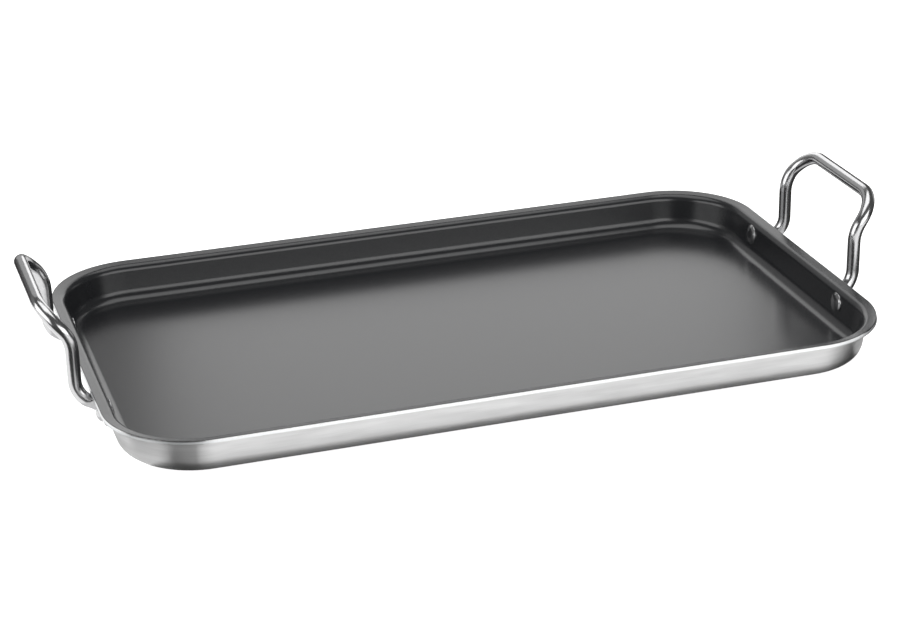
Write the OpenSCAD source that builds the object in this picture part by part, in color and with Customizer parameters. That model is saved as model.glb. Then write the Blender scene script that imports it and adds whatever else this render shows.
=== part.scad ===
// Rectangular non-stick griddle plate for the hob: a clad sheet pressed into a shallow tray with a
// flared lip, and a bent wire handle riveted to each short wall.
// Millimetres. The origin is the middle of the underside, +X along the length, +Z up.

/* [Tray] */
// Length over the lip
tray_l = 416; // [360:1:460]
// Width over the lip
tray_w = 246; // [220:1:300]
// Height of the lip's upper edge above the hob
tray_h = 22; // [21:0.5:30]
// Plan radius of the lip's corners
corner_r = 48; // [40:1:56]
// How far the lip's edge stands out past the foot of the wall
overhang = 7.75; // [7:0.25:9]
// Lean of the walls from upright, in degrees
draft = 7; // [4:0.5:10]
// Rise of the lip from level, in degrees
lip_slope = 11; // [6:0.5:14]
// Outer radius between floor and wall
foot_r = 9; // [7:0.5:10]
// Radius under the lip, where the wall turns outwards
lip_bend_r = 2; // [1.5:0.25:3]

/* [Clad sheet] */
// Thickness of the outer steel
outer_t = 0.5; // [0.4:0.1:0.8]
// Thickness of the aluminium core
core_t = 1.0; // [0.8:0.1:1.5]
// Thickness of the inner steel
inner_t = 0.5; // [0.4:0.1:0.8]
// Thickness of the non-stick coating, drawn thicker than the real film
coat_t = 0.25; // [0.2:0.05:0.4]

/* [Handles] */
// Diameter of the wire
wire_d = 7; // [6:0.5:8]
// Distance between the centres of the two legs
leg_gap = 87; // [80:1:96]
// Free space between the lip's edge and a leg
lip_gap = 3.4; // [3:0.2:6]
// Height of the knee above the lip, where a leg leans outwards
knee_h = 28; // [24:1:36]
// Lean of the grip from upright, in degrees
grip_lean = 39.5; // [30:0.5:45]
// Length of the leaning part, from the knee to the grip's centre line
grip_rise = 20.5; // [20.5:0.5:26]
// Bend radius at the grip's corners
grip_r = 17; // [12:0.5:17]
// Bend radius at the knee
knee_r = 8; // [6:0.5:8]
// Bend radius at the ankle, where a leg turns in under the lip
ankle_r = 7; // [6:0.5:8]

/* [Feet and rivets] */
// Distance of each rivet from the middle of the short wall
rivet_y = 55.3; // [53:0.1:57]
// Height of the rivets above the hob
rivet_z = 13; // [12:0.5:13.5]
// Diameter of a rivet's shank
shank_d = 5; // [4:0.5:5]
// Diameter of the head inside the tray
inner_head_d = 11.4; // [9:0.2:12]
// Height of the head inside the tray
inner_head_h = 1.6; // [1:0.1:2]
// Diameter of the head outside
outer_head_d = 9; // [7:0.2:9]
// Height of the head outside
outer_head_h = 2.4; // [1:0.1:2.5]
// Thickness of a flattened foot
foot_t = 3.2; // [2.5:0.1:4]
// Height of a flattened foot
foot_w = 10; // [9:0.5:10]
// Length of a foot beyond its rivet
foot_end = 10.7; // [9:0.1:12]
// Length of a foot before its rivet
foot_start = 11; // [10:0.5:12]

/* [Hidden] */
$fn = 64;
arc_step = 9;
steel = "#c2c5c8";
polished = "#d3d5d7";
alloy = "#b4b7bb";
coating = "#3f4042";

// Depths of the four layers, counted from the sheet's outer face
core_at = outer_t;
inner_at = core_at + core_t;
coat_at = inner_at + inner_t;
face_at = coat_at + coat_t;

// Plan: the corner centres, and the wall's foot counted outwards from them
centre_x = tray_l / 2 - corner_r;
centre_y = tray_w / 2 - corner_r;
wall_r = corner_r - overhang;

// Section: the cut edge's lower corner, the corner where wall and lip would meet, and the two bends
lip_normal = [-sin(lip_slope), cos(lip_slope)];
wall_up = [sin(draft), cos(draft)];
wall_out = [cos(draft), -sin(draft)];
edge_low = [corner_r, tray_h - coat_at * lip_normal.y];
meet_z = (edge_low.y - overhang * tan(lip_slope)) / (1 - tan(draft) * tan(lip_slope));
lip_turn = 90 - draft - lip_slope;
lip_start = [wall_r + meet_z * tan(draft), meet_z] - lip_bend_r * tan(lip_turn / 2) * wall_up;
lip_centre = lip_start + lip_bend_r * wall_out;
foot_centre = [wall_r + foot_r * tan(draft) - foot_r / cos(draft), foot_r];

// Right handle, its rear leg: the wire's corners from foot to grip
rivet_x = centre_x + wall_r + rivet_z * tan(draft);
leg_x = tray_l / 2 + lip_gap + wire_d / 2;
toe = [rivet_x + wire_d / 2 + 0.1, rivet_y - 8.3, rivet_z];
ankle = [leg_x, leg_gap / 2, tray_h - 1.5];
knee = [leg_x, leg_gap / 2, tray_h + knee_h];
grip_corner = knee + grip_rise * [sin(grip_lean), 0, cos(grip_lean)];
rear_leg = [toe, ankle, knee, grip_corner];

// How far a straight length of wire runs into a bend, and how much thinner it is than the bend
weld_in = 0.4;
weld_step = 0.02;

// Points of an arc about c, from one angle to another
function arc(c, r, from, to) =
    let (n = ceil(abs(to - from) / arc_step))
    [for (i = [0:n]) let (a = from + (to - from) * i / n) c + r * [cos(a), sin(a)]];

function reversed(list) = [for (i = [len(list) - 1:-1:0]) list[i]];

// The sheet's section at a depth from its outer face, from a corner's centre out to the cut edge
function sheet_line(depth) = concat(
    [[0, depth]],
    arc(foot_centre, foot_r - depth, -90, -draft),
    arc(lip_centre, lip_bend_r + depth, 180 - draft, 90 + lip_slope),
    [edge_low + depth * lip_normal]);

// A low dome on the axis, its flat side at the bottom
function dome_line(r, h) =
    let (ball_r = (r * r + h * h) / (2 * h))
    concat([[0, 0]], arc([0, h - ball_r], ball_r, asin((ball_r - h) / ball_r), 90));

// The tray's form between two depths of the sheet: floor, four sides and four corners
module tray_layer(from, to) {
    t = to - from;
    translate([-centre_x, -centre_y, from]) cube([2 * centre_x, 2 * centre_y, t]);
    for (side = [0:3]) {
        run = side % 2 == 0 ? centre_x : centre_y;
        half = side % 2 == 0 ? centre_y : centre_x;
        rotate(90 * side) {
            translate([run, half, 0]) rotate([90, 0, 0]) linear_extrude(2 * half) band(from, to);
            translate([run, half, 0]) rotate_extrude(angle = 90) band(from, to);
        }
    }
}

module band(from, to) {
    polygon(concat(sheet_line(from), reversed(sheet_line(to))));
}

// Puts children on the outer face of a short wall, +Z out of the wall and +X down it
module at_rivet(x_side, y_side) {
    mirror([x_side < 0 ? 1 : 0, 0, 0])
        translate([rivet_x, y_side * rivet_y, rivet_z])
            rotate([0, 90 + draft, 0]) children();
}

// One layer of the sheet, drilled for the four rivets
module ply(from, to) {
    difference() {
        tray_layer(from, to);
        for (x_side = [-1, 1], y_side = [-1, 1])
            at_rivet(x_side, y_side) cylinder(d = shank_d, h = 4 * face_at, center = true);
    }
}

module outer_steel_shell() { color(steel) ply(0, core_at); }

module aluminium_core() { color(alloy) ply(core_at, inner_at); }

module inner_steel_layer() { color(steel) ply(inner_at, coat_at); }

module nonstick_coating() { color(coating) ply(coat_at, face_at); }

// A straight length of wire between two points, a hair thinner than the bends that it runs into
module wire_run(a, b) {
    d = b - a;
    translate(a) rotate([0, acos(d.z / norm(d)), atan2(d.y, d.x)])
        translate([0, 0, -weld_in]) cylinder(r = wire_d / 2 - weld_step, h = norm(d) + 2 * weld_in);
}

// A bend of the wire about centre c, from the point s with heading h and the bend's axis n
module wire_bend(c, s, h, n, turn) {
    r = norm(s - c);
    e = (s - c) / r;
    multmatrix([[e.x, h.x, n.x, c.x], [e.y, h.y, n.y, c.y], [e.z, h.z, n.z, c.z], [0, 0, 0, 1]])
        rotate_extrude(angle = turn) translate([r, 0]) circle(d = wire_d);
}

// Heading of the wire from corner i to the next, its turn at corner i, and the length that turn takes up
function heading(p, i) = (p[i + 1] - p[i]) / norm(p[i + 1] - p[i]);
function turn_at(p, i) = acos(heading(p, i - 1) * heading(p, i));
function cut_back(p, r, i) = i == 0 || i == len(p) - 1 ? 0 : r[i - 1] * tan(turn_at(p, i) / 2);

// Wire along the corners p, rounded at the inner ones with the bend radii r
module wire_path(p, r) {
    for (i = [0:len(p) - 2])
        wire_run(p[i] + cut_back(p, r, i) * heading(p, i),
                 p[i + 1] - cut_back(p, r, i + 1) * heading(p, i));
    for (i = [1:len(p) - 2]) {
        h = heading(p, i - 1);
        n = cross(h, heading(p, i)) / sin(turn_at(p, i));
        s = p[i] - cut_back(p, r, i) * h;
        wire_bend(s + r[i - 1] * cross(n, h), s, h, n, turn_at(p, i));
    }
}

// The flattened end of the wire, as it lies on the wall beside its rivet
module foot_pad() {
    linear_extrude(foot_t)
        polygon(concat(arc([0, foot_end - foot_w / 2], foot_w / 2, 0, 180),
                       arc([0, -foot_start + foot_w / 2], foot_w / 2, 180, 360)));
}

module handle() {
    color(polished) difference() {
        union() {
            wire_path(concat(rear_leg, reversed([for (p = rear_leg) [p.x, -p.y, p.z]])),
                      [ankle_r, knee_r, grip_r, grip_r, knee_r, ankle_r]);
            for (y_side = [0, 1]) mirror([0, y_side, 0]) {
                translate(toe) sphere(d = wire_d);
                at_rivet(1, 1) foot_pad();
            }
        }
        for (y_side = [-1, 1])
            at_rivet(1, y_side) cylinder(d = shank_d, h = 4 * foot_t, center = true);
    }
}

module right_handle() { handle(); }

module left_handle() { rotate(180) handle(); }

module rivet(x_side, y_side) {
    color(polished) at_rivet(x_side, y_side) {
        translate([0, 0, -face_at]) cylinder(d = shank_d, h = face_at + foot_t);
        translate([0, 0, foot_t]) rotate_extrude() polygon(dome_line(outer_head_d / 2, outer_head_h));
        translate([0, 0, -face_at]) mirror([0, 0, 1])
            rotate_extrude() polygon(dome_line(inner_head_d / 2, inner_head_h));
    }
}

outer_steel_shell();
aluminium_core();
inner_steel_layer();
nonstick_coating();
left_handle();
right_handle();
rivet(-1, -1);  // rivet_left_front
rivet(-1, 1);  // rivet_left_rear
rivet(1, -1);  // rivet_right_front
rivet(1, 1);  // rivet_right_rear
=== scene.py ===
"""Looks of a two-handled griddle plate: clad tray, non-stick face, polished wire handles, rivets.

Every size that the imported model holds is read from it; the rest are fields of the classes below, in
millimetres. The tray stands on z = 0 with +X along its length, and all meshes are made in metres.
"""

import bisect
import logging
import math
from abc import ABC, abstractmethod
from dataclasses import dataclass, field
from enum import Enum
from typing import Any, Iterable, Mapping, NamedTuple, Sequence

import bmesh
import bpy
from mathutils import Matrix, Quaternion, Vector


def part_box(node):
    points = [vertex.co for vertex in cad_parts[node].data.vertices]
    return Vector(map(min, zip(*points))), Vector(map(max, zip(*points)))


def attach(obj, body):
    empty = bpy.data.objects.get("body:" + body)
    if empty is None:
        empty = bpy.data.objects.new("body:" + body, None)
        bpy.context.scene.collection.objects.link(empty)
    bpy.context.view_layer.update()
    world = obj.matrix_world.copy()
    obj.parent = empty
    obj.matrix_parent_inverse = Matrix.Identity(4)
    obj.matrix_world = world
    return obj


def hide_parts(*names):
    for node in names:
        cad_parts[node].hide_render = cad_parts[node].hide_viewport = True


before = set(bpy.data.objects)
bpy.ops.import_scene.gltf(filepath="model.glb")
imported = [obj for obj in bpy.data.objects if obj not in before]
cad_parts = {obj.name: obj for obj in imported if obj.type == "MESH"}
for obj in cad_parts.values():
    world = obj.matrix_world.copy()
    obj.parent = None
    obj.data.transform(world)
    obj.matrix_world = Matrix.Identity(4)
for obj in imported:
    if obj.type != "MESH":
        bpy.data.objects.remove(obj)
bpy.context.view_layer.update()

log = logging.getLogger("griddle")

MM = 0.001
BODY = "root"
GRAIN_MAP = "grain"
# A surface whose normal leans less than this is level, and takes its brushing from above.
LEVEL = 1e-9
WHITE = (1.0, 1.0, 1.0, 1.0)


class Slot(Enum):
    """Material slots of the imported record."""

    SATIN = "satin_steel"
    ALUMINIUM = "aluminium"
    NONSTICK = "nonstick"
    POLISHED = "polished_steel"
    RIVET = "rivet_steel"


class Face(Enum):
    """Which way a surface of the sheet looks: +1 towards the food, -1 away from it."""

    COOKING = 1
    OUTER = -1


class End(Enum):
    """The short end of the plate that a handle or rivet is on."""

    LEFT = "left"
    RIGHT = "right"


class Leg(Enum):
    """The leg of the handle that a rivet holds."""

    FRONT = "front"
    REAR = "rear"


# ---------------------------------------------------------------- colour and nodes


def linear(hex_colour: str) -> tuple[float, float, float, float]:
    """Turns an sRGB hex colour into the linear colour that a shader wants.

    Args:
        hex_colour: Six hex digits after a hash.

    Returns:
        Red, green, blue and an alpha of 1.
    """
    channels = [int(hex_colour[i : i + 2], 16) / 255 for i in (1, 3, 5)]
    curve = [c / 12.92 if c <= 0.04045 else ((c + 0.055) / 1.055) ** 2.4 for c in channels]
    return (*curve, 1.0)


def add_node(
    tree: bpy.types.NodeTree, kind: str, inputs: Mapping[Any, Any] | None = None, **settings: Any
) -> bpy.types.Node:
    """Adds one node to a tree, with its settings, values and links.

    Args:
        tree: The node tree.
        kind: The node's type.
        inputs: Input name or number to a value, or to the output socket that feeds it.
        **settings: Attributes of the node.

    Returns:
        The new node.
    """
    node = tree.nodes.new(kind)
    for name, value in settings.items():
        setattr(node, name, value)
    for name, value in (inputs or {}).items():
        if isinstance(value, bpy.types.NodeSocket):
            tree.links.new(value, node.inputs[name])
        else:
            node.inputs[name].default_value = value
    return node


def new_material(name: str) -> tuple[bpy.types.Material, bpy.types.NodeTree, bpy.types.Node]:
    """Makes an empty node material.

    Args:
        name: Its name.

    Returns:
        The material, its tree and its output node.
    """
    material = bpy.data.materials.new(name)
    material.use_nodes = True
    tree = material.node_tree
    tree.nodes.clear()
    return material, tree, tree.nodes.new("ShaderNodeOutputMaterial")


def brush_marks(
    tree: bpy.types.NodeTree, along: float, across: float, detail: float = 2.0
) -> bpy.types.NodeSocket:
    """Marks that are drawn out along a sheet's brushing.

    Args:
        tree: The node tree.
        along: Length of a streak in millimetres.
        across: Width of a streak in millimetres.
        detail: Octaves of finer noise.

    Returns:
        A value from 0 to 1.
    """
    grain = add_node(tree, "ShaderNodeUVMap", uv_map=GRAIN_MAP)
    scaled = add_node(
        tree,
        "ShaderNodeVectorMath",
        {0: grain.outputs["UV"], 1: (1 / (along * MM), 1 / (across * MM), 1.0)},
        operation="MULTIPLY",
    )
    noise = add_node(
        tree, "ShaderNodeTexNoise", {"Vector": scaled.outputs[0], "Scale": 1.0, "Detail": detail}
    )
    return noise.outputs["Fac"]


def mottle(tree: bpy.types.NodeTree, size: float, detail: float = 2.0) -> bpy.types.NodeSocket:
    """Mottling with patches of one size in every direction.

    Args:
        tree: The node tree.
        size: Size of a patch in millimetres.
        detail: Octaves of finer noise.

    Returns:
        A value from 0 to 1.
    """
    place = add_node(tree, "ShaderNodeTexCoord")
    noise = add_node(
        tree,
        "ShaderNodeTexNoise",
        {"Vector": place.outputs["Object"], "Scale": 1 / (size * MM), "Detail": detail},
    )
    return noise.outputs["Fac"]


# ---------------------------------------------------------------- finishes

# Nearly all of a noise lies in its middle, which is spread over a finish's own range.
NOISE_MIDDLE = {"From Min": 0.3, "From Max": 0.7}


@dataclass(frozen=True)
class Finish(ABC):
    """What the finishes share: a name, and two close tones that a pattern mixes."""

    name: str
    colour: str
    second_colour: str

    @abstractmethod
    def _pattern(self, tree: bpy.types.NodeTree) -> tuple[bpy.types.NodeSocket, dict[str, Any]]:
        """Adds the patterns that the surface shows.

        Args:
            tree: The material's tree.

        Returns:
            What mixes the two tones, and the shader's other values and links.
        """

    def make(self) -> bpy.types.Material:
        """Builds the material.

        Returns:
            The material.
        """
        material, tree, output = new_material(self.name)
        mixer, sockets = self._pattern(tree)
        # Sockets 6 and 7 and output 2 are the node's colours.
        tones = {"Factor": mixer, 6: linear(self.colour), 7: linear(self.second_colour)}
        mixed = add_node(tree, "ShaderNodeMix", tones, data_type="RGBA")
        sockets["Base Color"] = mixed.outputs[2]
        shader = add_node(tree, "ShaderNodeBsdfPrincipled", sockets)
        tree.links.new(shader.outputs[0], output.inputs["Surface"])
        return material


@dataclass(frozen=True)
class SatinSteel(Finish):
    """Stainless steel sheet, belt brushed along the sheet to a satin finish.

    The fine parallel scratches spread reflections across the brushing and leave them fairly sharp
    along it, so walls look evenly bright and round corners show upright bands.
    """

    name: str = "satin_brushed_stainless_steel"
    colour: str = "#d3d3d3"
    second_colour: str = "#bababa"
    roughness: tuple[float, float] = (0.36, 0.44)
    anisotropy: float = 0.9
    # The brushing map's u runs along the scratches; a quarter turn lays the blur across them.
    blur_turn: float = 0.25
    # A real scratch is about 0.03 mm wide, too fine to show, so it is drawn 0.5 mm wide.
    scratch_width: float = 0.5
    scratch_length: float = 22.0
    scratch_depth: float = 0.0015
    scratch_share: float = 0.4
    # The belt bites unevenly, which leaves paler and duller bands a few millimetres wide.
    band_width: float = 4.5
    band_length: float = 38.0
    band_share: float = 0.6

    def _pattern(self, tree: bpy.types.NodeTree) -> tuple[bpy.types.NodeSocket, dict[str, Any]]:
        """Adds the scratches, and the bands that the belt leaves.

        Args:
            tree: The material's tree.

        Returns:
            What mixes the two tones, and the shader's other values and links.
        """
        scratches = brush_marks(tree, self.scratch_length, self.scratch_width, detail=3.0)
        bite = brush_marks(tree, self.band_length, self.band_width)
        bands = add_node(
            tree,
            "ShaderNodeMapRange",
            {"Value": bite, **NOISE_MIDDLE, "To Min": 0.0, "To Max": self.band_share},
        )
        mixer = add_node(
            tree,
            "ShaderNodeMath",
            {0: scratches, 1: self.scratch_share, 2: bands.outputs["Result"]},
            operation="MULTIPLY_ADD",
        )
        low, high = self.roughness
        dulling = add_node(
            tree,
            "ShaderNodeMapRange",
            {"Value": scratches, **NOISE_MIDDLE, "To Min": low, "To Max": high},
        )
        bump = add_node(
            tree,
            "ShaderNodeBump",
            {"Height": scratches, "Strength": 1.0, "Distance": self.scratch_depth * MM},
        )
        tangent = add_node(tree, "ShaderNodeTangent", direction_type="UV_MAP", uv_map=GRAIN_MAP)
        return mixer.outputs[0], {
            "Metallic": 1.0,
            "Roughness": dulling.outputs["Result"],
            "Anisotropic": self.anisotropy,
            "Anisotropic Rotation": self.blur_turn,
            "Tangent": tangent.outputs[0],
            "Normal": bump.outputs[0],
        }


@dataclass(frozen=True)
class PolishedSteel(Finish):
    """Stainless steel wire or rivet, drawn or headed and then buffed.

    Near a mirror: it shows the room in long light and dark lines, soft-edged and a little rippled.
    """

    colour: str = "#cacacb"
    second_colour: str = "#bebebf"
    roughness: tuple[float, float] = (0.17, 0.23)
    # Buffing leaves a ripple a few millimetres long and a few micrometres deep.
    ripple_size: float = 4.0
    ripple_depth: float = 0.003
    # The haze of the buffing compound is a third as coarse as the ripple.
    haze_part: float = 3.0

    def _pattern(self, tree: bpy.types.NodeTree) -> tuple[bpy.types.NodeSocket, dict[str, Any]]:
        """Adds the buffing's ripple and haze.

        Args:
            tree: The material's tree.

        Returns:
            What mixes the two tones, and the shader's other values and links.
        """
        ripple = mottle(tree, self.ripple_size, detail=1.0)
        haze = mottle(tree, self.ripple_size / self.haze_part, detail=3.0)
        low, high = self.roughness
        dulling = add_node(
            tree,
            "ShaderNodeMapRange",
            {"Value": haze, **NOISE_MIDDLE, "To Min": low, "To Max": high},
        )
        bump = add_node(
            tree,
            "ShaderNodeBump",
            {"Height": ripple, "Strength": 1.0, "Distance": self.ripple_depth * MM},
        )
        return haze, {
            "Metallic": 1.0,
            "Roughness": dulling.outputs["Result"],
            "Normal": bump.outputs[0],
        }


@dataclass(frozen=True)
class CutMetal(Finish):
    """Trimmed and ground edge of a metal sheet, seen only as a bright line round the lip."""

    roughness: float = 0.26
    # Grinding marks cross the edge every few tenths of a millimetre.
    mark_size: float = 0.5

    def _pattern(self, tree: bpy.types.NodeTree) -> tuple[bpy.types.NodeSocket, dict[str, Any]]:
        """Adds the grinding marks.

        Args:
            tree: The material's tree.

        Returns:
            What mixes the two tones, and the shader's other values and links.
        """
        return mottle(tree, self.mark_size), {"Metallic": 1.0, "Roughness": self.roughness}


@dataclass(frozen=True)
class NonstickCoating(Finish):
    """Fluoropolymer non-stick coating, sprayed on in coats and baked.

    A charcoal film with a semi-gloss skin: a fine orange peel breaks up what it reflects, and the
    filler in it shows as a faint grain.
    """

    name: str = "sprayed_fluoropolymer_coating"
    colour: str = "#2d2e30"
    second_colour: str = "#232426"
    ior: float = 1.6
    roughness: tuple[float, float] = (0.20, 0.26)
    # The filler's flakes are about 0.1 mm; drawn at 0.6 mm, the smallest that shows at this size.
    flake_size: float = 0.6
    # Orange peel: bumps a few millimetres apart and about a micrometre high.
    peel_size: float = 2.5
    peel_depth: float = 0.0015

    def _pattern(self, tree: bpy.types.NodeTree) -> tuple[bpy.types.NodeSocket, dict[str, Any]]:
        """Adds the filler's flakes and the orange peel.

        Args:
            tree: The material's tree.

        Returns:
            What mixes the two tones, and the shader's other values and links.
        """
        flakes = mottle(tree, self.flake_size, detail=1.0)
        peel = mottle(tree, self.peel_size)
        low, high = self.roughness
        dulling = add_node(
            tree,
            "ShaderNodeMapRange",
            {"Value": flakes, **NOISE_MIDDLE, "To Min": low, "To Max": high},
        )
        bump = add_node(
            tree,
            "ShaderNodeBump",
            {"Height": peel, "Strength": 1.0, "Distance": self.peel_depth * MM},
        )
        return flakes, {
            "Roughness": dulling.outputs["Result"],
            "IOR": self.ior,
            "Normal": bump.outputs[0],
        }


# ---------------------------------------------------------------- meshes


class Corner(NamedTuple):
    """One corner of a face: its place, the surface's normal, and its place on the brushing."""

    place: Vector
    normal: Vector
    grain: tuple[float, float]


class MeshDraft:
    """Gathers faces whose normals are known, and makes one mesh of them."""

    WELD = 1e-6

    def __init__(self) -> None:
        """Starts empty."""
        self._numbers: dict[tuple[int, int, int], int] = {}
        self._points: list[Vector] = []
        self._faces: list[list[int]] = []
        self._normals: list[Vector] = []
        self._grain: list[tuple[float, float]] = []

    def _number(self, place: Vector) -> int:
        """Finds the point at a place, or makes it.

        Args:
            place: The place.

        Returns:
            The point's number.
        """
        key = tuple(round(c / self.WELD) for c in place)
        if key not in self._numbers:
            self._numbers[key] = len(self._points)
            self._points.append(place)
        return self._numbers[key]

    def face(self, *corners: Corner) -> None:
        """Adds a face, wound so that it looks along its normals.

        Args:
            *corners: Its corners in order; those that fall on each other count once.
        """
        kept: dict[int, Corner] = {}
        for corner in corners:
            kept.setdefault(self._number(corner.place), corner)
        if len(kept) < 3:
            return
        numbers = list(kept)
        a, b, c = (self._points[n] for n in numbers[:3])
        if (b - a).cross(c - a).dot(sum((k.normal for k in kept.values()), Vector())) < 0:
            numbers.reverse()
        self._faces.append(numbers)
        self._normals += [kept[n].normal for n in numbers]
        self._grain += [kept[n].grain for n in numbers]

    def make(self, name: str) -> bpy.types.Object:
        """Makes the mesh, with its normals and its brushing map.

        Args:
            name: The object's name.

        Returns:
            The new object, in the scene.
        """
        mesh = bpy.data.meshes.new(name)
        mesh.from_pydata(self._points, [], self._faces)
        grain = mesh.uv_layers.new(name=GRAIN_MAP)
        grain.data.foreach_set("uv", [c for pair in self._grain for c in pair])
        mesh.shade_smooth()
        mesh.normals_split_custom_set(self._normals)
        mesh.update()
        return link_mesh(name, mesh)


def link_mesh(name: str, mesh: bpy.types.Mesh) -> bpy.types.Object:
    """Puts a mesh into the scene as an object.

    Args:
        name: The object's name.
        mesh: Its mesh.

    Returns:
        The object.
    """
    made = bpy.data.objects.new(name, mesh)
    bpy.context.scene.collection.objects.link(made)
    return made


def loft(
    name: str, rings: Sequence[Sequence[Vector]], grain_width: float, sharp_angle: float = 50.0
) -> bpy.types.Object:
    """Skins a row of closed rings and closes both ends.

    Args:
        name: The object's name.
        rings: Rings of points, the same number in each.
        grain_width: Width of the brushing map round the ring, in metres.
        sharp_angle: Edges that turn more than this, in degrees, stay sharp.

    Returns:
        The new object, in the scene.
    """
    bm = bmesh.new()
    grain = bm.loops.layers.uv.new(GRAIN_MAP)
    rows = [[bm.verts.new(p) for p in ring] for ring in rings]
    count = len(rows[0])
    run = 0.0
    for i, (row, after) in enumerate(zip(rows, rows[1:])):
        step = (sum(rings[i + 1], Vector()) - sum(rings[i], Vector())).length / count
        for k in range(count):
            k2 = (k + 1) % count
            made = bm.faces.new((row[k], row[k2], after[k2], after[k]))
            left, right = k / count * grain_width, (k + 1) / count * grain_width
            spots = ((run, left), (run, right), (run + step, right), (run + step, left))
            for loop, spot in zip(made.loops, spots):
                loop[grain].uv = spot
        run += step
    bm.faces.new(rows[0][::-1])
    bm.faces.new(rows[-1])
    bmesh.ops.recalc_face_normals(bm, faces=bm.faces)
    mesh = bpy.data.meshes.new(name)
    bm.to_mesh(mesh)
    bm.free()
    mesh.shade_smooth()
    mesh.set_sharp_from_angle(angle=math.radians(sharp_angle))
    return link_mesh(name, mesh)


def dress(
    piece: bpy.types.Object, material: bpy.types.Material, nodes: Sequence[str]
) -> None:
    """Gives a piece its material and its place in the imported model, and reports it.

    Args:
        piece: The piece.
        material: Its material.
        nodes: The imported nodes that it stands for.
    """
    piece.data.materials.append(material)
    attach(piece, BODY)
    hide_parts(*nodes)
    log.info("%s: %d faces, %s", piece.name, len(piece.data.polygons), material.name)


# ---------------------------------------------------------------- the tray


class SectionPoint(NamedTuple):
    """A point of the sheet's section: distance from the corner's centre, height, normal, girth."""

    out: float
    up: float
    normal: tuple[float, float]
    girth: float


class Station(NamedTuple):
    """Where the section stands: a corner's centre or a point between two, heading, and run."""

    origin: Vector
    heading: float
    run: float


@dataclass
class SheetSection:
    """Section of the pressed sheet, from a corner's centre out to the cut edge. Millimetres."""

    corner_r: float = 48.0
    overhang: float = 7.75
    draft: float = 7.0
    lip_slope: float = 11.0
    foot_r: float = 9.0
    lip_bend_r: float = 2.0
    steel_t: float = 2.0
    edge_round: float = 0.2
    edge_steps: int = 6
    arc_step: float = 4.0
    lip_z: float = field(default_factory=lambda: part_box("inner_steel_layer")[1].z / MM)

    def __post_init__(self) -> None:
        """Works out the two bends from the driving sizes."""
        lip, wall = math.radians(self.lip_slope), math.radians(self.draft)
        self.lip_normal = Vector((-math.sin(lip), math.cos(lip)))
        self.lip_out = Vector((math.cos(lip), math.sin(lip)))
        wall_up = Vector((math.sin(wall), math.cos(wall)))
        wall_out = Vector((math.cos(wall), -math.sin(wall)))
        wall_r = self.corner_r - self.overhang
        self.edge_low = Vector((self.corner_r, self.lip_z - self.steel_t * self.lip_normal.y))
        meet_z = (self.edge_low.y - self.overhang * math.tan(lip)) / (
            1 - math.tan(wall) * math.tan(lip)
        )
        turn = math.pi / 2 - wall - lip
        meet = Vector((wall_r + meet_z * math.tan(wall), meet_z))
        start = meet - self.lip_bend_r * math.tan(turn / 2) * wall_up
        self.lip_centre = start + self.lip_bend_r * wall_out
        self.foot_centre = Vector(
            (wall_r + self.foot_r * (math.tan(wall) - 1 / math.cos(wall)), self.foot_r)
        )

    def _arc(
        self, centre: Vector, radius: float, start: float, end: float
    ) -> Iterable[tuple[Vector, Vector]]:
        """Follows an arc.

        Args:
            centre: Its centre.
            radius: Its radius.
            start: Where it starts, in degrees.
            end: Where it ends, in degrees.

        Yields:
            Points, each with its direction from the centre.
        """
        count = max(2, math.ceil(abs(end - start) / self.arc_step))
        for i in range(count + 1):
            angle = math.radians(start + (end - start) * i / count)
            ray = Vector((math.cos(angle), math.sin(angle)))
            yield centre + radius * ray, ray

    def line(self, depth: float, face: Face, rounded: bool) -> list[SectionPoint]:
        """The section at one depth of the sheet.

        Args:
            depth: Distance from the sheet's outer face.
            face: Which way the surface there looks.
            rounded: Whether it ends in a small round over the cut edge.

        Returns:
            Points from the corner's centre outwards, in metres.
        """
        side = face.value
        spots = [(Vector((0.0, depth)), Vector((0.0, side)))]
        for place, ray in self._arc(self.foot_centre, self.foot_r - depth, -90, -self.draft):
            spots.append((place, -side * ray))
        bend = self._arc(
            self.lip_centre, self.lip_bend_r + depth, 180 - self.draft, 90 + self.lip_slope
        )
        for place, ray in bend:
            spots.append((place, side * ray))
        edge = self.edge_low + depth * self.lip_normal
        if rounded:
            up = side * self.lip_normal
            centre = edge - self.edge_round * (self.lip_out + up)
            for i in range(self.edge_steps + 1):
                turn = math.pi / 2 * i / self.edge_steps
                ray = math.cos(turn) * up + math.sin(turn) * self.lip_out
                spots.append((centre + self.edge_round * ray, ray))
        else:
            spots.append((edge, side * self.lip_normal))
        girth, points = 0.0, []
        for i, (place, normal) in enumerate(spots):
            girth += (place - spots[i - 1][0]).length if i else 0.0
            points.append(SectionPoint(place.x * MM, place.y * MM, tuple(normal), girth * MM))
        return points

    def wall_face(self, height: float) -> float:
        """Distance from the tray's middle to an end wall's outer face, at a height."""
        lip_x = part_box("outer_steel_shell")[1].x / MM
        return lip_x - self.overhang + height * math.tan(math.radians(self.draft))


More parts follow.
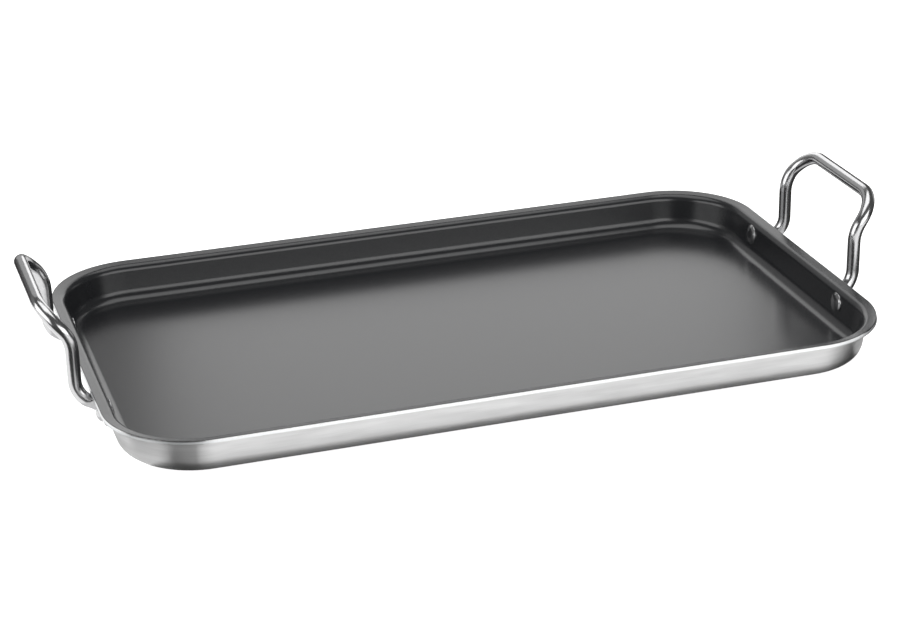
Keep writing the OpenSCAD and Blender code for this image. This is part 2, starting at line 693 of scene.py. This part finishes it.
@dataclass
class Tray:
    """The pressed sheet: four bonded layers swept round a rounded rectangle. Millimetres."""

    section: SheetSection = field(default_factory=SheetSection)
    coat_t: float = 0.25
    side_step: float = 13.0
    corner_steps: int = 26
    stations: list[Station] = field(init=False)

    def __post_init__(self) -> None:
        """Reads the tray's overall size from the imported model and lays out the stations."""
        low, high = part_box("outer_steel_shell")
        self.centre_x = (high.x - low.x) / 2 / MM - self.section.corner_r
        self.centre_y = (high.y - low.y) / 2 / MM - self.section.corner_r
        self.stations = self._stations()

    def _side_places(self, half: float) -> list[float]:
        """Even steps from one end of a straight side to the other."""
        count = round(2 * half / self.side_step)
        return [half * (2 * i / count - 1) for i in range(count + 1)]

    def _stations(self) -> list[Station]:
        """Lays out stations once round the tray.

        Returns:
            The stations, each side's followed by those of the corner after it.
        """
        stations: list[Station] = []
        run = 0.0
        arc = math.radians(90) * (self.section.corner_r - self.section.overhang)
        for side in range(4):
            out, half = self.centre_x, self.centre_y
            if side % 2:
                out, half = half, out
            turn = Matrix.Rotation(math.radians(90 * side), 3, "Z")
            for place in self._side_places(half):
                origin = turn @ Vector((out, place, 0.0))
                stations.append(Station(origin * MM, 90.0 * side, (run + place + half) * MM))
            run += 2 * half
            origin = turn @ Vector((out, half, 0.0))
            for i in range(1, self.corner_steps):
                part = i / self.corner_steps
                stations.append(Station(origin * MM, 90 * (side + part), (run + arc * part) * MM))
            run += arc
        return [*stations, stations[0]._replace(heading=360.0, run=run * MM)]

    @staticmethod
    def _corner(station: Station, point: SectionPoint, level: bool) -> Corner:
        """Stands a point of the section in its place in the tray.

        Args:
            station: Where the section stands.
            point: The point.
            level: Whether the face there is level.

        Returns:
            The corner for a face.
        """
        angle = math.radians(station.heading)
        ray = Vector((math.cos(angle), math.sin(angle), 0.0))
        place = station.origin + ray * point.out + Vector((0, 0, point.up))
        normal = ray * point.normal[0] + Vector((0, 0, point.normal[1]))
        return Corner(place, normal, (place.x, place.y) if level else (station.run, point.girth))

    def _sweep(self, draft: MeshDraft, line: Sequence[SectionPoint]) -> None:
        """Adds one surface of the sheet, all the way round.

        Args:
            draft: The mesh being drafted.
            line: The section to sweep.
        """
        for here, there in zip(self.stations, self.stations[1:]):
            for a, b in zip(line, line[1:]):
                level = max(abs(a.normal[0]), abs(b.normal[0])) < LEVEL
                spots = ((here, a), (there, a), (there, b), (here, b))
                draft.face(*(self._corner(station, point, level) for station, point in spots))

    def _floor(self, draft: MeshDraft, height: float, face: Face) -> None:
        """Adds the flat rectangle between the four corner centres.

        Args:
            draft: The mesh being drafted.
            height: Its height, in metres.
            face: Which way it looks.
        """
        xs, ys = self._side_places(self.centre_x), self._side_places(self.centre_y)
        for x0, x1 in zip(xs, xs[1:]):
            for y0, y1 in zip(ys, ys[1:]):
                spots = ((x0, y0), (x1, y0), (x1, y1), (x0, y1))
                places = [Vector((x * MM, y * MM, height)) for x, y in spots]
                draft.face(*(Corner(p, Vector((0, 0, face.value)), (p.x, p.y)) for p in places))

    def _edge(self, draft: MeshDraft, low: SectionPoint, high: SectionPoint) -> None:
        """Adds the cut edge between the ends of two surfaces."""
        out = tuple(self.section.lip_out)
        self._sweep(draft, [p._replace(normal=out) for p in (low, high)])

    def layer(
        self, name: str, start: float, end: float, round_low: bool = False, round_high: bool = False
    ) -> bpy.types.Object:
        """Makes one layer of the sheet as a closed mesh.

        Args:
            name: The piece's name.
            start: Depth of its outer surface.
            end: Depth of the surface towards the food.
            round_low: Whether the lower corner of its cut edge is rounded.
            round_high: Whether the upper one is.

        Returns:
            The new object.
        """
        draft = MeshDraft()
        outer = self.section.line(start, Face.OUTER, round_low)
        inner = self.section.line(end, Face.COOKING, round_high)
        for line, face in ((outer, Face.OUTER), (inner, Face.COOKING)):
            self._sweep(draft, line)
            self._floor(draft, line[0].up, face)
        self._edge(draft, outer[-1], inner[-1])
        return draft.make(name)

    def build(self) -> None:
        """Makes and dresses the four layers."""
        upper = ("aluminium_core", "inner_steel_layer", "nonstick_coating")
        core, inner, coat = (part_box(node)[0].z / MM for node in upper)
        satin = SatinSteel().make()
        edge = CutMetal("ground_edge_of_stainless_steel", "#e2e2e1", "#d2d3d3").make()
        alloy = CutMetal("ground_edge_of_aluminium", "#e6e7e8", "#d6d8da", roughness=0.45).make()
        shell = self.layer("tray_outer_steel", 0.0, core, round_low=True)
        dress(shell, satin, ["outer_steel_shell"])
        middle = self.layer("tray_aluminium_core", core, inner)
        dress(middle, alloy, ["aluminium_core"])
        lining = self.layer("tray_inner_steel", inner, coat)
        dress(lining, edge, ["inner_steel_layer"])
        film = self.layer("tray_nonstick_coating", coat, coat + self.coat_t, round_high=True)
        dress(film, NonstickCoating().make(), ["nonstick_coating"])


# ---------------------------------------------------------------- handles


def rounded_path(corners: Sequence[Vector], radii: Sequence[float], step: float) -> list[Vector]:
    """Follows straight lines from corner to corner, with an arc at each inner corner.

    Args:
        corners: The corners.
        radii: Bend radius at each inner corner.
        step: Greatest distance between two points.

    Returns:
        Points along the path.
    """
    points = [corners[0]]
    for before, corner, after, radius in zip(corners, corners[1:], corners[2:], radii):
        into, out = (corner - before).normalized(), (after - corner).normalized()
        turn = into.angle(out)
        axis = into.cross(out).normalized()
        start = corner - into * radius * math.tan(turn / 2)
        centre = start + axis.cross(into) * radius
        count = max(3, math.ceil(radius * turn / step))
        for i in range(count + 1):
            points.append(centre + Quaternion(axis, turn * i / count) @ (start - centre))
    points.append(corners[-1])
    filled = [points[0]]
    for point in points[1:]:
        gap = point - filled[-1]
        count = max(1, math.ceil(gap.length / step))
        start = filled[-1]
        filled += [start + gap * (i / count) for i in range(1, count + 1)]
    return filled


def along(path: Sequence[Vector], lengths: Sequence[float], distance: float) -> Vector:
    """Finds the point of a path at a distance from its start.

    Args:
        path: The path's points.
        lengths: Distance of each from the start.
        distance: The distance wanted.

    Returns:
        The point.
    """
    i = min(max(bisect.bisect_right(lengths, distance), 1), len(path) - 1)
    part = (distance - lengths[i - 1]) / (lengths[i] - lengths[i - 1] or 1.0)
    return path[i - 1].lerp(path[i], min(1.0, max(0.0, part)))


def ease(value: float) -> float:
    """Smooth step from 0 to 1."""
    t = min(1.0, max(0.0, value))
    return t * t * (3 - 2 * t)


@dataclass
class WireHandle:
    """One bent wire with a flattened foot at each end. Millimetres."""

    end: End
    section: SheetSection = field(default_factory=SheetSection)
    wire_d: float = 7.0
    leg_gap: float = 87.0
    lip_gap: float = 3.4
    ankle_drop: float = 1.5
    straight_h: float = 16.0
    knee_h: float = 28.0
    ankle_r: float = 13.0
    toe_r: float = 5.0
    toe_run: float = 2.5
    knee_r: float = 20.0
    grip_r: float = 17.0
    foot_t: float = 3.2
    foot_w: float = 10.0
    foot_play: float = 0.1
    # The foot's section goes from round (0) to a rectangle with rounded corners.
    foot_squareness: float = 2.0
    foot_tip: float = 0.02
    forge_l: float = 6.0
    step: float = 0.9
    around: int = 36

    def _path(self) -> list[Vector]:
        """Works out the right handle's centre line.

        Returns:
            Its points, from the rear foot's end round to the front one's.
        """
        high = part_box("right_handle")[1] / MM
        lip_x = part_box("outer_steel_shell")[1].x / MM
        steel_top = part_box("inner_steel_layer")[1].z / MM
        rivet_z = sum(corner.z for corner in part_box("rivet_right_rear")) / 2 / MM
        half = self.wire_d / 2
        leg_x, leg_y = lip_x + self.lip_gap + half, self.leg_gap / 2
        foot_x = self.section.wall_face(rivet_z) + half + self.foot_play
        foot = Vector((foot_x, high.y, rivet_z))
        mid_z = steel_top + self.straight_h
        lower = rounded_path(
            [
                foot,
                Vector((foot.x, leg_y + self.toe_run, foot.z)),
                Vector((leg_x, leg_y, steel_top - self.ankle_drop)),
                Vector((leg_x, leg_y, mid_z)),
            ],
            [self.toe_r, self.ankle_r],
            self.step,
        )
        # The bow is bent flat as a U first, and then over a round bar so that it leans out.
        side = rounded_path(
            [
                Vector((leg_x, 0.0, mid_z)),
                Vector((leg_x, 0.0, steel_top + self.knee_h)),
                Vector((high.x - half, 0.0, high.z - half)),
            ],
            [self.knee_r],
            self.step,
        )
        lengths = [0.0]
        for a, b in zip(side, side[1:]):
            lengths.append(lengths[-1] + (b - a).length)
        flat = rounded_path(
            [
                Vector((0.0, leg_y, 0.0)),
                Vector((lengths[-1], leg_y, 0.0)),
                Vector((lengths[-1], -leg_y, 0.0)),
                Vector((0.0, -leg_y, 0.0)),
            ],
            [self.grip_r, self.grip_r],
            self.step,
        )
        bow = [along(side, lengths, p.x) + Vector((0.0, p.y, 0.0)) for p in flat]
        front = [Vector((p.x, -p.y, p.z)) for p in reversed(lower)]
        return [*lower, *bow[1:-1], *front]

    def _ring(
        self, centre: Vector, thin: Vector, wide: Vector, flat: float, end: float
    ) -> list[Vector]:
        """One ring of the wire.

        Args:
            centre: Its centre.
            thin: Direction in which the foot is thin, out of the wall.
            wide: Direction in which it is wide.
            flat: 0 for round wire to 1 for the flattened foot.
            end: Distance from the wire's end.

        Returns:
            The ring's points, in metres.
        """
        half = self.wire_d / 2
        a = half + (self.foot_t / 2 - half) * flat
        b = half + (self.foot_w / 2 - half) * flat
        round_l = self.foot_w / 2
        if end < round_l:
            b *= math.sqrt(1 - ((round_l - end) / round_l) ** 2)
        power = 2 / (2 + self.foot_squareness * flat)
        middle = centre - thin * flat * (half + self.foot_play - self.foot_t / 2)
        ring = []
        for i in range(self.around):
            angle = 2 * math.pi * i / self.around
            c, s = math.cos(angle), math.sin(angle)
            x = math.copysign(abs(c) ** power, c) * a
            y = math.copysign(abs(s) ** power, s) * b
            ring.append((middle + thin * x + wide * y) * MM)
        return ring

    def build(self, material: bpy.types.Material) -> None:
        """Makes and dresses the handle.

        Args:
            material: The wire's finish.
        """
        path = self._path()
        wall = math.radians(self.section.draft)
        thin = Vector((math.cos(wall), 0.0, -math.sin(wall)))
        lengths = [0.0]
        for a, b in zip(path, path[1:]):
            lengths.append(lengths[-1] + (b - a).length)
        total = lengths[-1]
        foot_l = path[0].y - self.leg_gap / 2 - self.toe_run - self.toe_r / 2
        rings = []
        heading = (path[1] - path[0]).normalized()
        for i, centre in enumerate(path):
            before, after = path[max(0, i - 1)], path[min(len(path) - 1, i + 1)]
            turned = (after - before).normalized()
            thin = (heading.rotation_difference(turned) @ thin).normalized()
            heading = turned
            end = min(lengths[i], total - lengths[i])
            flat = 1 - ease((end - foot_l) / self.forge_l)
            rings.append(self._ring(centre, thin, heading.cross(thin), flat, end + self.foot_tip))
        handle = loft(f"{self.end.value}_wire_handle", rings, math.pi * self.wire_d * MM)
        if self.end is End.LEFT:
            handle.data.transform(Matrix.Rotation(math.pi, 4, "Z"))
        dress(handle, material, [f"{self.end.value}_handle"])


# ---------------------------------------------------------------- rivets


@dataclass
class Rivet:
    """Solid rivet: a low wide head inside the tray, a smaller one on the foot. Millimetres."""

    end: End
    leg: Leg
    section: SheetSection = field(default_factory=SheetSection)
    rivet_y: float = 55.3
    shank_d: float = 5.0
    inner_d: float = 11.4
    inner_h: float = 1.6
    outer_d: float = 9.0
    outer_h: float = 2.4
    edge_h: float = 0.55
    edge_r: float = 0.3
    edge_steps: int = 5
    under_bevel: float = 0.1
    # A lower power makes the dome fuller towards its edge.
    dome_power: float = 0.8
    dome_steps: int = 11
    tip_r: float = 0.02
    foot_t: float = WireHandle.foot_t
    sheet_t: float = 2.25
    around: int = 56
    sharp_angle: float = 60.0

    def _head(self, diameter: float, height: float) -> list[tuple[float, float]]:
        """Draws the profile of a head.

        Args:
            diameter: Its diameter.
            height: Its height.

        Returns:
            Radius and height, from its underside over the rounded edge to the top of the dome.
        """
        r, dome_h = diameter / 2, height - self.edge_h
        profile = [(r - self.under_bevel, 0.0), (r, self.under_bevel)]
        for i in range(self.edge_steps + 1):
            turn = math.pi / 2 * i / self.edge_steps
            out = r - self.edge_r + self.edge_r * math.cos(turn)
            profile.append((out, self.edge_h - self.edge_r + self.edge_r * math.sin(turn)))
        reach = r - self.edge_r
        for i in range(1, self.dome_steps + 1):
            out = reach * (1 - i / self.dome_steps)
            rise = (1 - (out / reach) ** 2) ** self.dome_power
            profile.append((out, self.edge_h + dome_h * rise))
        return profile

    def build(self, material: bpy.types.Material) -> None:
        """Makes and dresses the rivet.

        Args:
            material: Its finish.
        """
        outer = [(r, self.foot_t + h) for r, h in self._head(self.outer_d, self.outer_h)]
        inner = [(r, -self.sheet_t - h) for r, h in self._head(self.inner_d, self.inner_h)]
        shank = self.shank_d / 2
        profile = [*reversed(inner), (shank, -self.sheet_t), (shank, self.foot_t), *outer]
        profile[0] = (self.tip_r, profile[0][1])
        profile[-1] = (self.tip_r, profile[-1][1])
        low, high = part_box(f"rivet_right_{self.leg.value}")
        height = (low.z + high.z) / 2 / MM
        across = math.copysign(self.rivet_y, low.y)
        place = Vector((self.section.wall_face(height), across, height))
        turn = Matrix.Rotation(math.radians(90 + self.section.draft), 3, "Y")
        rings = []
        for r, h in profile:
            spots = (2 * math.pi * i / self.around for i in range(self.around))
            rings.append(
                [(place + turn @ Vector((r * math.cos(a), r * math.sin(a), h))) * MM for a in spots]
            )
        name = f"rivet_{self.end.value}_{self.leg.value}"
        piece = loft(f"headed_{name}", rings, math.pi * self.inner_d * MM, self.sharp_angle)
        if self.end is End.LEFT:
            piece.data.transform(Matrix.Diagonal((-1, 1, 1, 1)))
            piece.data.flip_normals()
        dress(piece, material, [name])


# ---------------------------------------------------------------- studio


def glowing_sheet(name: str, corners: Sequence[Vector], glow: float) -> None:
    """Makes a sheet that lights the plate and is reflected in it, but isn't seen itself.

    Args:
        name: The sheet's name.
        corners: Its four corners, in metres.
        glow: Its brightness, where 1 is white.
    """
    mesh = bpy.data.meshes.new(name)
    mesh.from_pydata(list(corners), [], [(0, 1, 2, 3)])
    sheet = link_mesh(name, mesh)
    sheet.visible_camera = False
    sheet.visible_shadow = False
    material, tree, output = new_material(f"{name}_white_fabric")
    shader = add_node(tree, "ShaderNodeEmission", {"Strength": glow})
    tree.links.new(shader.outputs[0], output.inputs["Surface"])
    mesh.materials.append(material)


@dataclass(frozen=True)
class SoftBox:
    """An evenly glowing panel that stands well away from the plate and looks at it. Metres."""

    name: str
    place: tuple[float, float, float]
    size: tuple[float, float]
    glow: float
    aim: tuple[float, float, float] = (0.0, 0.0, 0.02)

    def make(self) -> None:
        """Makes the panel."""
        place = Vector(self.place)
        turn = (Vector(self.aim) - place).to_track_quat("-Z", "Y")
        w, h = self.size[0] / 2, self.size[1] / 2
        spots = ((-w, h), (w, h), (w, -h), (-w, -h))
        glowing_sheet(self.name, [place + turn @ Vector((x, y, 0.0)) for x, y in spots], self.glow)


@dataclass(frozen=True)
class Card:
    """A white card that lies on the table beside the plate and brightens the steel. Metres."""

    name: str
    low: tuple[float, float]
    high: tuple[float, float]
    glow: float
    thickness: float = 0.0004

    def make(self) -> None:
        """Makes the card."""
        (x0, y0), (x1, y1) = self.low, self.high
        spots = ((x0, y0), (x1, y0), (x1, y1), (x0, y1))
        glowing_sheet(self.name, [Vector((x, y, self.thickness)) for x, y in spots], self.glow)


@dataclass
class Studio:
    """Pale floor, soft light and the camera. Metres and degrees."""

    azimuth: float = -17.358
    elevation: float = 23.199
    roll: float = -1.146
    distance: float = 1.24073
    target: tuple[float, float, float] = (-0.01194, -0.02489, 0.022)
    lens: float = 93.39
    floor_size: float = 12.0
    floor_colour: str = "#f4f4f3"
    floor_roughness: float = 0.9
    floor_glow: float = 0.9
    backdrop_glow: float = 1.05
    room_glow: float = 0.10
    table_glow: float = 0.05
    # The panels are what the floor, the walls and the wire reflect from above and from the sides;
    # the cards are what the outer wall and the lip's edge reflect from the table.
    lights: tuple[SoftBox | Card, ...] = (
        SoftBox("rear_softbox", (0.34, 1.05, 0.54), (0.68, 0.84), 1.65),
        SoftBox("rear_left_softbox", (-0.27, 1.05, 0.45), (0.54, 0.75), 0.5),
        SoftBox("far_left_softbox", (-0.85, 0.8, 0.4), (0.6, 0.7), 0.2),
        SoftBox("overhead_softbox", (0.0, 0.15, 1.3), (1.3, 1.0), 1.8),
        SoftBox("front_softbox", (0.36, -0.94, 0.35), (1.05, 0.66), 2.4),
        SoftBox("left_softbox", (-0.95, -0.12, 0.3), (1.1, 0.6), 2.2),
        SoftBox("right_softbox", (1.0, 0.36, 0.15), (0.4, 0.35), 0.6),
        Card("front_card", (-0.172, -0.75), (0.45, -0.1235), 1.45),
        Card("corner_card", (-0.215, -0.2), (-0.172, -0.121), 0.62),
        Card("left_card", (-0.222, -0.121), (-0.19, 0.16), 0.9),
        Card("far_left_card", (-0.6, -0.078), (-0.222, 0.2), 1.35),
        Card("right_card", (0.197, -0.107), (0.232, 0.12), 0.8),
        Card("rear_card", (-0.17, 0.1235), (0.17, 0.4), 0.8),
    )

    def camera(self) -> None:
        """Makes the camera."""
        a, e, r = (math.radians(v) for v in (self.azimuth, self.elevation, self.roll))
        back = Vector((math.sin(a) * math.cos(e), -math.cos(a) * math.cos(e), math.sin(e)))
        right = Vector((math.cos(a), math.sin(a), 0.0))
        up = back.cross(right)
        data = bpy.data.cameras.new("studio_camera")
        data.lens = self.lens
        data.clip_start, data.clip_end = 0.05, 60.0
        made = bpy.data.objects.new("studio_camera", data)
        bpy.context.scene.collection.objects.link(made)
        tilted_right = right * math.cos(r) + up * math.sin(r)
        tilted_up = -right * math.sin(r) + up * math.cos(r)
        turned = Matrix((tilted_right, tilted_up, back)).transposed().to_4x4()
        made.matrix_world = Matrix.Translation(Vector(self.target) + back * self.distance) @ turned
        bpy.context.scene.camera = made

    def floor(self) -> None:
        """Makes the pale floor, a matt painted board lit to white, darker in reflections."""
        half = self.floor_size / 2
        mesh = bpy.data.meshes.new("studio_floor")
        spots = [(-half, -half, 0), (half, -half, 0), (half, half, 0), (-half, half, 0)]
        mesh.from_pydata(spots, [], [(0, 1, 2, 3)])
        board = link_mesh("studio_floor", mesh)
        material, tree, output = new_material("matt_white_board")
        paint = add_node(
            tree,
            "ShaderNodeBsdfPrincipled",
            {
                "Base Color": linear(self.floor_colour),
                "Roughness": self.floor_roughness,
                "Emission Color": WHITE,
                "Emission Strength": self.floor_glow,
            },
        )
        reflected = add_node(tree, "ShaderNodeEmission", {"Strength": self.table_glow})
        path = add_node(tree, "ShaderNodeLightPath")
        seen = add_node(
            tree,
            "ShaderNodeMixShader",
            {0: path.outputs["Is Camera Ray"], 1: reflected.outputs[0], 2: paint.outputs[0]},
        )
        tree.links.new(seen.outputs[0], output.inputs["Surface"])
        mesh.materials.append(material)

    def room(self) -> None:
        """Makes the room: a white backdrop behind the plate and dim walls in reflections."""
        world = bpy.data.worlds.new("studio_room")
        bpy.context.scene.world = world
        world.use_nodes = True
        tree = world.node_tree
        tree.nodes.clear()
        output = tree.nodes.new("ShaderNodeOutputWorld")
        path = add_node(tree, "ShaderNodeLightPath")
        dim, white = (
            add_node(tree, "ShaderNodeBackground", {"Color": WHITE, "Strength": glow})
            for glow in (self.room_glow, self.backdrop_glow)
        )
        seen = add_node(
            tree,
            "ShaderNodeMixShader",
            {0: path.outputs["Is Camera Ray"], 1: dim.outputs[0], 2: white.outputs[0]},
        )
        tree.links.new(seen.outputs[0], output.inputs["Surface"])

    def build(self) -> None:
        """Makes the floor, the light and the camera."""
        self.camera()
        self.floor()
        self.room()
        for light in self.lights:
            light.make()
        bpy.context.scene.view_settings.view_transform = "Standard"
        log.info("studio: camera at %.1f, %.1f degrees", self.azimuth, self.elevation)


def main() -> None:
    """Builds the plate and its studio."""
    logging.basicConfig(level=logging.INFO, format="%(name)s: %(message)s")
    Studio().build()
    Tray().build()
    wire = PolishedSteel("buffed_stainless_steel_wire").make()
    for end in (End.RIGHT, End.LEFT):
        WireHandle(end).build(wire)
    headed = PolishedSteel("buffed_stainless_steel_rivet", roughness=(0.14, 0.2)).make()
    for end in End:
        for leg in Leg:
            Rivet(end, leg).build(headed)


if __name__ == "__main__":
    main()
